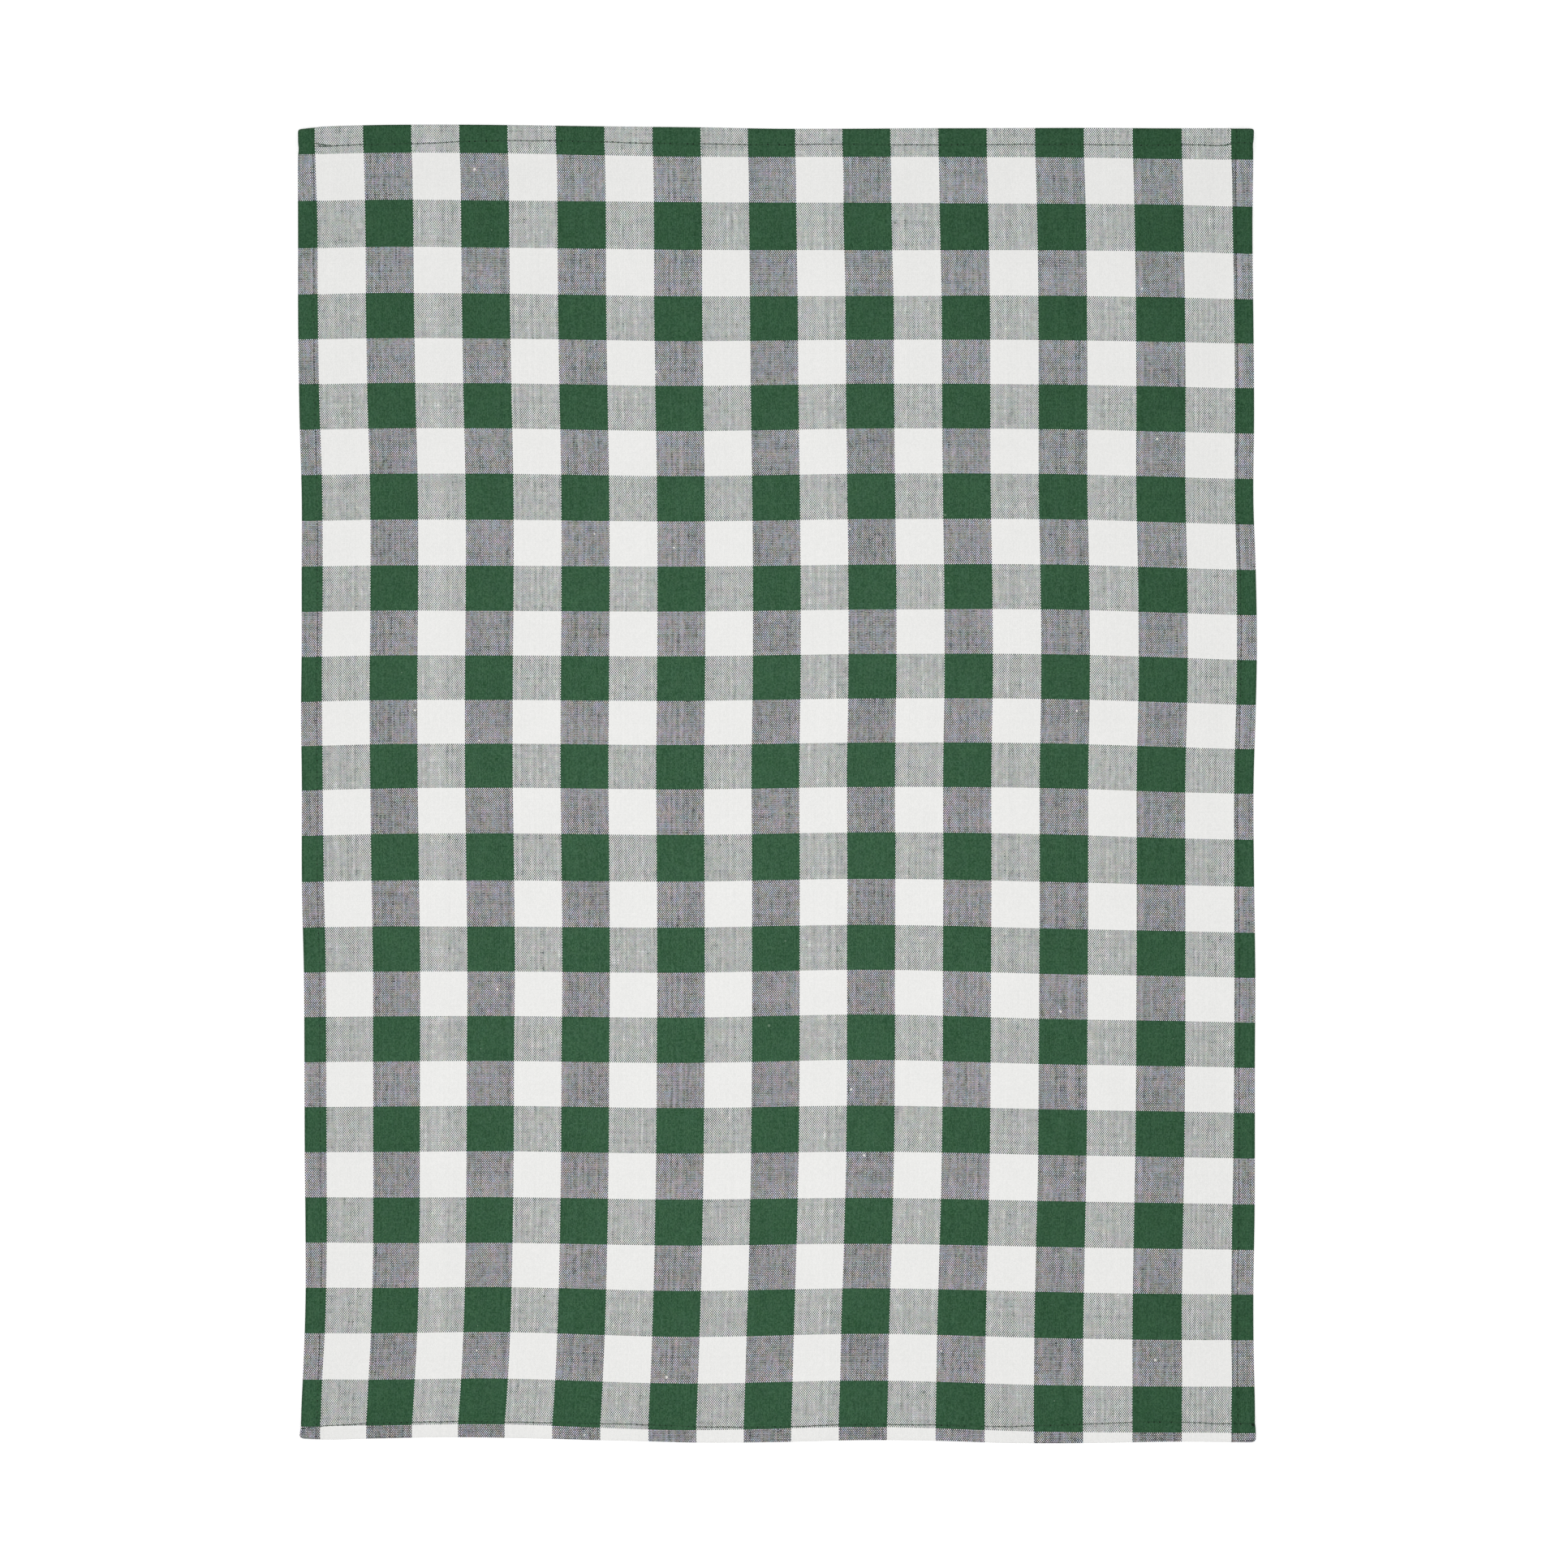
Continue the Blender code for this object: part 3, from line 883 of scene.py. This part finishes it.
# From the towel's middle outwards the cloth's colours drift a little: the share taken off, for each 349 mm
# to the right and down, and for each such distance squared
Drift = namedtuple("Drift", "right down across along")
GREEN_DRIFT = Drift(0.062, -0.020, 0.235, 0.115)
GREY_DRIFT = Drift(0.003, 0.029, 0.011, -0.030)
GREY_HUE = Drift(0.0079, -0.0158, 0.0098, 0.0158)
GREEN_DRIFT_COLOUR = (1.20, 0.77, 1.05)
# Painted shade at the needle's holes and in the seam's groove beside the thread
HOLE_INSIDE, HOLE_OUTSIDE = 0.40, 0.66  # in mm from a needle's hole, less on the green
HOLE_FAINT, HOLE_FAINT_GREEN, HOLE_DARK = 0.55, 0.12, 0.97
GROOVE_GREY, GROOVE_GREEN = 0.24, 0.0
# How much of the painted shade at the holes shows, in the greys of the end seams and on the side seams
END_HOLES_GREY, SIDE_HOLES, SIDE_HOLES_GREEN = 0.84, 0.62, 0.68
SIDE_GROOVE_GREY, SIDE_GROOVE_GREEN, RIGHT_GROOVE_MORE = 0.42, 0.04, 0.13
# Painted shade along a fold of the green cloth: where it starts and ends, in mm from the folded edge, and how dark it
# is
FOLD_INSIDE, FOLD_OUTSIDE, FOLD_DARK = 0.9, 1.7, 0.13  # in mm from the folded edge


def cloth_material():
    m = Nodes("woven_check")
    u, v = m.uv("weave")
    ends, picks = m.mul(u, ENDS), m.mul(v, PICKS)
    end, pick = m.math("FLOOR", ends), m.math("FLOOR", picks)
    warp_green = m.math("FLOORED_MODULO", m.math("FLOOR", m.math("DIVIDE", m.add(end, 0.5), ENDS)), 2.0)
    weft_green = m.math("FLOORED_MODULO", m.math("FLOOR", m.math("DIVIDE", m.add(pick, 0.5), PICKS)), 2.0)
    both_green = m.mul(warp_green, weft_green)
    both_white = m.mul(m.sub(1.0, warp_green), m.sub(1.0, weft_green))
    dark_grey = m.sub(warp_green, both_green)  # green ends, white picks
    light_grey = m.sub(weft_green, both_green)  # white ends, green picks
    over = m.math("FLOORED_MODULO", m.add(end, pick), 2.0)  # 1 where the end lies over the pick
    sign = m.mad(over, 2.0, -1.0)
    fe = m.sub(m.sub(ends, end), 0.5)
    fp = m.sub(m.sub(picks, pick), 0.5)

    # Each yarn is thicker and thinner along its length, and one differs from the next
    warp_slub = m.noise(m.vector(m.mul(end, 7.31), m.mul(picks, 0.075), 3.1), 1.0, 2.0, 0.6)
    weft_slub = m.noise(m.vector(m.mul(ends, 0.05), m.mul(pick, 5.17), 8.7), 1.0, 2.0, 0.6)
    warp_yarn = m.mad(m.sub(m.random(end, 1.5), 0.5), 0.45, warp_slub)
    weft_yarn = m.mad(m.sub(m.random(pick, 4.5), 0.5), 0.45, weft_slub)
    each, each_colour = m.random_colour(end, pick, 2.0)  # at one crossing
    each = m.sub(each, 0.5)
    clump = m.noise(m.vector(m.mul(ends, 0.25), m.mul(picks, 0.2), 1.0))
    cloud = m.noise(m.vector(m.mul(u, 0.9), m.mul(v, 0.9), 5.0), 1.0, 1.0)
    fuzz = m.noise(m.vector(m.mul(ends, 2.1), m.mul(picks, 2.1), 7.0))

    # Heights of both yarns, and which is seen
    warp_wave = m.mul(sign, m.math("COSINE", m.mul(fp, math.pi)))
    weft_wave = m.mul(m.mul(sign, -1.0), m.math("COSINE", m.mul(fe, math.pi)))

    def round_section(f):
        return m.math("SQRT", m.math("MAXIMUM", m.sub(1.0, m.math("POWER", m.mul(m.math("ABSOLUTE", f), 2.0), 2.0)), 0.0))

    warp_height = m.add(m.mul(warp_wave, 0.55), m.mul(round_section(fe), 0.45))
    weft_height = m.add(m.mul(weft_wave, 0.55), m.mul(round_section(fp), 0.45))
    lean = m.add(
        m.mad(warp_yarn, LEAN_WARP, m.mul(weft_yarn, -LEAN_WEFT)),
        m.mad(clump, LEAN_CLUMP, m.mul(m.mul(each, LEAN_EACH), m.mad(light_grey, LIGHT_GREY_EACH / LIGHT_GREY_YARN - 1, 1.0))),
    )
    side_hem = m.math("GREATER_THAN", m.math("ABSOLUTE", m.sub(u, 9.5)), 9.56)
    bottom_hem, top_hem = m.math("GREATER_THAN", v, 28.0), m.math("LESS_THAN", v, -0.2)
    lean_dark_grey = m.mad(side_hem, LEAN_SIDE_HEM, m.mad(bottom_hem, LEAN_BOTTOM_HEM, LEAN_DARK_GREY))
    lean = m.add(
        m.mul(lean, m.mad(light_grey, LIGHT_GREY_YARN - 1, 1.0)),
        m.add(
            m.mad(cloud, LEAN_CLOUD, 0.07), m.mad(dark_grey, lean_dark_grey, m.mul(light_grey, m.mad(top_hem, LEAN_TOP_HEM, LEAN_LIGHT_GREY)))
        ),
    )
    warp_seen = m.steps(m.add(m.sub(warp_height, weft_height), lean), -0.05, 0.05, kind="LINEAR")
    height = m.math("MAXIMUM", m.mad(lean, 0.5, warp_height), m.mad(lean, -0.5, weft_height))

    # Yarn colours
    warp_colour = m.mix(warp_green, WHITE, m.mix(weft_green, GREEN_END_IN_WHITE, GREEN))
    weft_colour = m.mix(
        weft_green, m.mix(warp_green, WHITE, WHITE_PICK_IN_GREEN), m.mix(warp_green, GREEN_PICK_IN_WHITE, GREEN)
    )
    colour = m.mix(warp_seen, weft_colour, warp_colour)

    # Painted shade in the grooves between the yarns, deepest between dyed ones
    groove = m.steps(height, GROOVE_LOW, GROOVE_HIGH, 0.0, 1.0)
    depth = m.add(
        m.mad(dark_grey, YARN_SHADE_DARK_GREY, m.mul(light_grey, YARN_SHADE_LIGHT_GREY)),
        m.mad(both_green, YARN_SHADE_GREEN, m.mul(both_white, YARN_SHADE_WHITE)),
    )
    shade = m.sub(1.0, m.mul(depth, m.sub(1.0, groove)))

    # Where both yarns are of one colour, their unevenness shows as lighter and darker places
    uneven = m.add(
        m.mad(warp_yarn, VARY_WARP, m.mul(weft_yarn, VARY_WEFT)),
        m.mad(each, VARY_EACH, m.mad(clump, VARY_CLUMP, m.mul(m.mul(fuzz, both_green), VARY_FUZZ))),
    )
    uneven = m.mul(uneven, m.mad(both_white, VARY_WHITE, both_green))
    cloudy = m.add(m.mad(dark_grey, -0.20, m.mul(both_green, -0.21)), m.mul(both_white, -0.04))
    uneven = m.mad(cloud, cloudy, uneven)
    lighter = m.vector_math("ADD", m.scale_colour(m.mix(both_green, (1.0, 1.0, 1.0), VARY_ON_GREEN), uneven), (1.0, 1.0, 1.0))
    colour = m.vector_math("MULTIPLY", m.scale_colour(colour, shade), lighter)

    # Fine stray tints in the greys
    tint_noise = m.noise_colour(m.vector(m.mul(ends, 0.09), m.mul(picks, 0.11), 21.0), 1.0, 0.7)
    amount = m.add(
        m.mad(light_grey, TINT_LIGHT_GREY, dark_grey), m.mad(both_green, TINT_GREEN, m.mul(both_white, TINT_WHITE))
    )
    tint = m.vector_math(
        "ADD",
        m.scale_colour(m.vector_math("SUBTRACT", each_colour, (0.5, 0.5, 0.5)), m.mul(amount, TINT_EACH)),
        m.scale_colour(m.vector_math("SUBTRACT", tint_noise, (0.5, 0.5, 0.5)), m.mul(amount, TINT_SOFT)),
    )
    tint = m.vector_math("MULTIPLY", tint, m.mix(dark_grey, (1.0, 1.0, 1.0), TINT_BALANCE))
    greener = m.mul(m.mul(m.sub(lean, m.add(lean_dark_grey, 0.07)), dark_grey), TINT_LEAN)
    tint = m.vector_math("ADD", tint, m.scale_colour(m.vector(-1.0, 1.0, -1.0), greener))
    colour = m.vector_math("MULTIPLY", colour, m.vector_math("ADD", tint, (1.0, 1.0, 1.0)))

    # The green is a little darker towards the edges, and the greys drift in brightness and hue
    right = m.mul(m.sub(u, 9.53), 0.072)
    down = m.mul(m.sub(v, 13.83), 0.068)

    def drifted(rates):
        straight = m.mad(right, rates.right, m.mul(down, rates.down))
        return m.add(straight, m.mad(m.mul(right, right), rates.across, m.mul(m.mul(down, down), rates.along)))

    def taken_off(colour, share, by_channel):
        part = m.scale_colour(by_channel, share)
        return m.vector_math("MULTIPLY", colour, m.vector_math("SUBTRACT", (1.0, 1.0, 1.0), part))

    green_drift = m.mad(side_hem, -0.045, drifted(GREEN_DRIFT))
    colour = taken_off(colour, m.mul(green_drift, both_green), GREEN_DRIFT_COLOUR)
    colour = taken_off(colour, m.mul(drifted(GREY_DRIFT), m.add(dark_grey, light_grey)), (1.0, 1.0, 1.0))
    hue = m.mul(m.sub(drifted(GREY_HUE), 0.006), m.mad(light_grey, 0.3, dark_grey))
    colour = taken_off(colour, hue, (1.0, -0.5, -0.5))

    # Painted shade in the needle's holes, and in the groove where the cloth lies beside the thread
    run, aside = m.uv("stitches")
    hole = m.math("FLOOR", m.add(run, 0.5))
    along = m.mul(m.sub(run, hole), STITCH / MM)
    from_hole = m.mul(m.math("SQRT", m.mad(along, along, m.mul(m.mul(aside, aside), 1.2))), m.mad(both_green, 0.22, 1.0))
    hole_seen = m.steps(
        m.random(hole, 6.5), 0.0, 1.0, m.mad(both_green, HOLE_FAINT_GREEN - HOLE_FAINT, HOLE_FAINT), HOLE_DARK, "LINEAR"
    )
    hole_shade = m.mul(m.steps(from_hole, HOLE_INSIDE, HOLE_OUTSIDE, 1.0, 0.0), hole_seen)
    on_side, on_right = m.math("GREATER_THAN", run, 700.0), m.math("GREATER_THAN", run, 1100.0)
    end_groove = m.mad(both_green, GROOVE_GREEN - GROOVE_GREY, GROOVE_GREY)
    side_groove = m.mad(both_green, SIDE_GROOVE_GREEN - SIDE_GROOVE_GREY, m.mad(on_right, RIGHT_GROOVE_MORE, SIDE_GROOVE_GREY))
    groove_depth = m.mad(on_side, m.sub(side_groove, end_groove), end_groove)
    groove_shade = m.mul(m.steps(m.math("ABSOLUTE", aside), 0.1, 0.45, 1.0, 0.0), groove_depth)
    end_holes = m.mad(both_green, 1 - END_HOLES_GREY, END_HOLES_GREY)
    side_holes = m.mad(both_green, SIDE_HOLES_GREEN - SIDE_HOLES, SIDE_HOLES)
    hole_shade = m.mul(hole_shade, m.mad(on_side, m.sub(side_holes, end_holes), end_holes))
    sewn = m.math("GREATER_THAN", run, -0.4)
    hole_shade, groove_shade = m.mul(hole_shade, sewn), m.mul(groove_shade, sewn)
    colour = m.scale_colour(colour, m.mul(m.sub(1.0, hole_shade), m.sub(1.0, groove_shade)))

    # Painted shade along a fold of the green cloth
    in_x, in_y = m.uv("inside")
    fold_shade = m.steps(m.math("MINIMUM", in_x, in_y), FOLD_INSIDE, FOLD_OUTSIDE, FOLD_DARK, 0.0)
    colour = m.scale_colour(colour, m.sub(1.0, m.mul(fold_shade, both_green)))

    # Here and there a nep: a speck of the other colour caught in the yarn
    cell = m.tree.nodes.new("ShaderNodeTexVoronoi")
    cell.feature = "F1"
    m.put(cell.inputs["Vector"], m.vector(m.mul(ends, 0.062), m.mul(picks, 0.081), 0.5))
    cell.inputs["Scale"].default_value = 1.0
    pick_out = m.tree.nodes.new("ShaderNodeSeparateColor")
    m.put(pick_out.inputs[0], cell.outputs["Color"])
    chosen = m.math("GREATER_THAN", pick_out.outputs[0], 0.80)
    size = m.mad(m.math("POWER", pick_out.outputs[1], 2.0), 0.055, 0.030)
    nep = m.mul(m.steps(cell.outputs["Distance"], size, m.mul(size, 1.3), 1.0, 0.0, "LINEAR"), chosen)
    nep_colour = m.mix(both_green, m.mix(light_grey, (0.74, 0.73, 0.68), (0.10, 0.13, 0.11)), (0.13, 0.21, 0.14))
    strength = m.mad(both_white, -0.78, m.mad(light_grey, -0.2, 0.85))
    colour = m.mix(m.mul(nep, strength), colour, nep_colour)

    m.put(m.shader.inputs["Base Color"], colour)
    m.shader.inputs["Roughness"].default_value = 0.88
    m.shader.inputs["Specular IOR Level"].default_value = 0.18
    m.shader.inputs["Sheen Weight"].default_value = 0.06
    m.shader.inputs["Sheen Roughness"].default_value = 0.5
    m.bump(m.mad(each, 0.25, height), 0.00009, 0.55)
    return m.material


def thread_material():
    m = Nodes("sewing_thread")
    u, v = m.uv("thread")
    # Painted shade between two plies twisted together, and where the thread goes down into the cloth
    ply = m.math("SINE", m.mad(u, 46.0, m.mul(v, 2 * math.pi * 2)))
    end = m.math("MINIMUM", u, m.sub(1.0, u))
    hole = m.steps(end, 0.03, 0.13)
    shade = m.mul(m.mad(ply, 0.16, 0.84), m.mad(hole, 0.88, 0.12))
    fleck = m.noise(m.vector(m.mul(u, 31.0), m.mul(v, 5.0), 2.0), 1.0, 2.0)
    # Painted shade on a knot of the doubled thread
    shade = m.mul(shade, m.mad(m.math("GREATER_THAN", v, 0.99), -0.8, 1.0))  # a knot is darker
    colour = m.scale_colour(m.mix(m.mad(fleck, 1.2, 0.5), (0.034, 0.086, 0.045), (0.045, 0.106, 0.058)), shade)
    m.put(m.shader.inputs["Base Color"], colour)
    m.shader.inputs["Roughness"].default_value = 0.7
    m.shader.inputs["Specular IOR Level"].default_value = 0.12
    m.bump(ply, 0.00003, 0.6)
    return m.material


# ---------------------------------------------------------------------------------------------
# Make the towel
# ---------------------------------------------------------------------------------------------
towel, flat_size = build_sheet()
towel.data.materials.append(cloth_material())
print("flat size", flat_size, "triangles", 2 * len(towel.data.polygons), flush=True)

rng = np.random.default_rng(7)
thread = thread_material()
threads = []
for below in (False, True):
    parts = []
    for side in SIDES:
        parts += stitches_along(side, below, rng)
    if not below:
        parts += doubled_stitches(rng)
    o = build_thread("bobbin_stitches" if below else "face_stitches", parts)
    o.data.materials.append(thread)
    threads.append(o)

for o in [towel, *threads]:
    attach(o, "root")
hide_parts("towel")

# ---------------------------------------------------------------------------------------------
# Floor, light and camera
# ---------------------------------------------------------------------------------------------
floor_mesh = new_mesh(
    "floor",
    [(-4, -4, -0.0002), (4, -4, -0.0002), (4, 4, -0.0002), (-4, 4, -0.0002)],
    [(0, 1, 2, 3)],
    {"floor": [(0, 0), (1, 0), (1, 1), (0, 1)]},
)
floor = bpy.data.objects.new("floor", floor_mesh)
bpy.context.scene.collection.objects.link(floor)
paper = Nodes("pale_floor")
paper.shader.inputs["Base Color"].default_value = (0.97, 0.97, 0.97, 1.0)
paper.shader.inputs["Roughness"].default_value = 1.0
paper.shader.inputs["Specular IOR Level"].default_value = 0.0
paper.shader.inputs["Emission Color"].default_value = (1.0, 1.0, 1.0, 1.0)
paper.shader.inputs["Emission Strength"].default_value = 0.07
floor.data.materials.append(paper.material)

scene = bpy.context.scene
scene.view_settings.view_transform = "Standard"
scene.cycles.use_denoising = False
world = bpy.data.worlds.new("studio")
scene.world = world
world.use_nodes = True
world.node_tree.nodes["Background"].inputs["Color"].default_value = (1.0, 1.0, 1.0, 1.0)
world.node_tree.nodes["Background"].inputs["Strength"].default_value = 0.585


def softbox(name, place, aim, size, power):
    data = bpy.data.lights.new(name, "AREA")
    data.shape = "RECTANGLE"
    data.size, data.size_y = size
    data.energy = power
    light = bpy.data.objects.new(name, data)
    scene.collection.objects.link(light)
    light.location = place
    light.rotation_mode = "QUATERNION"
    light.rotation_quaternion = (Vector(aim) - Vector(place)).to_track_quat("-Z", "Y")
    return light


softbox("overhead_light", (-0.057, -0.073, 1.52), (-0.057, -0.073, 0), (0.35, 0.95), 13.09)

# The photo's frame is 1932 by 1932 pixels, at 2.348 pixels to the millimetre on the towel
FRAME_PIXELS = 1932
PIXELS_PER_MM = 2.348
camera_data = bpy.data.cameras.new("camera")
camera = bpy.data.objects.new("camera", camera_data)
scene.collection.objects.link(camera)
camera_data.sensor_width = 36.0
camera_data.lens = 62.0
wide = FRAME_PIXELS / PIXELS_PER_MM * MM
camera.location = (
    (FRAME_PIXELS / 2 - 957.75) / PIXELS_PER_MM * MM,
    (966.1 - FRAME_PIXELS / 2) / PIXELS_PER_MM * MM,
    wide * camera_data.lens / camera_data.sensor_width,
)
camera_data.clip_start, camera_data.clip_end = 0.05, 30.0
scene.camera = camera
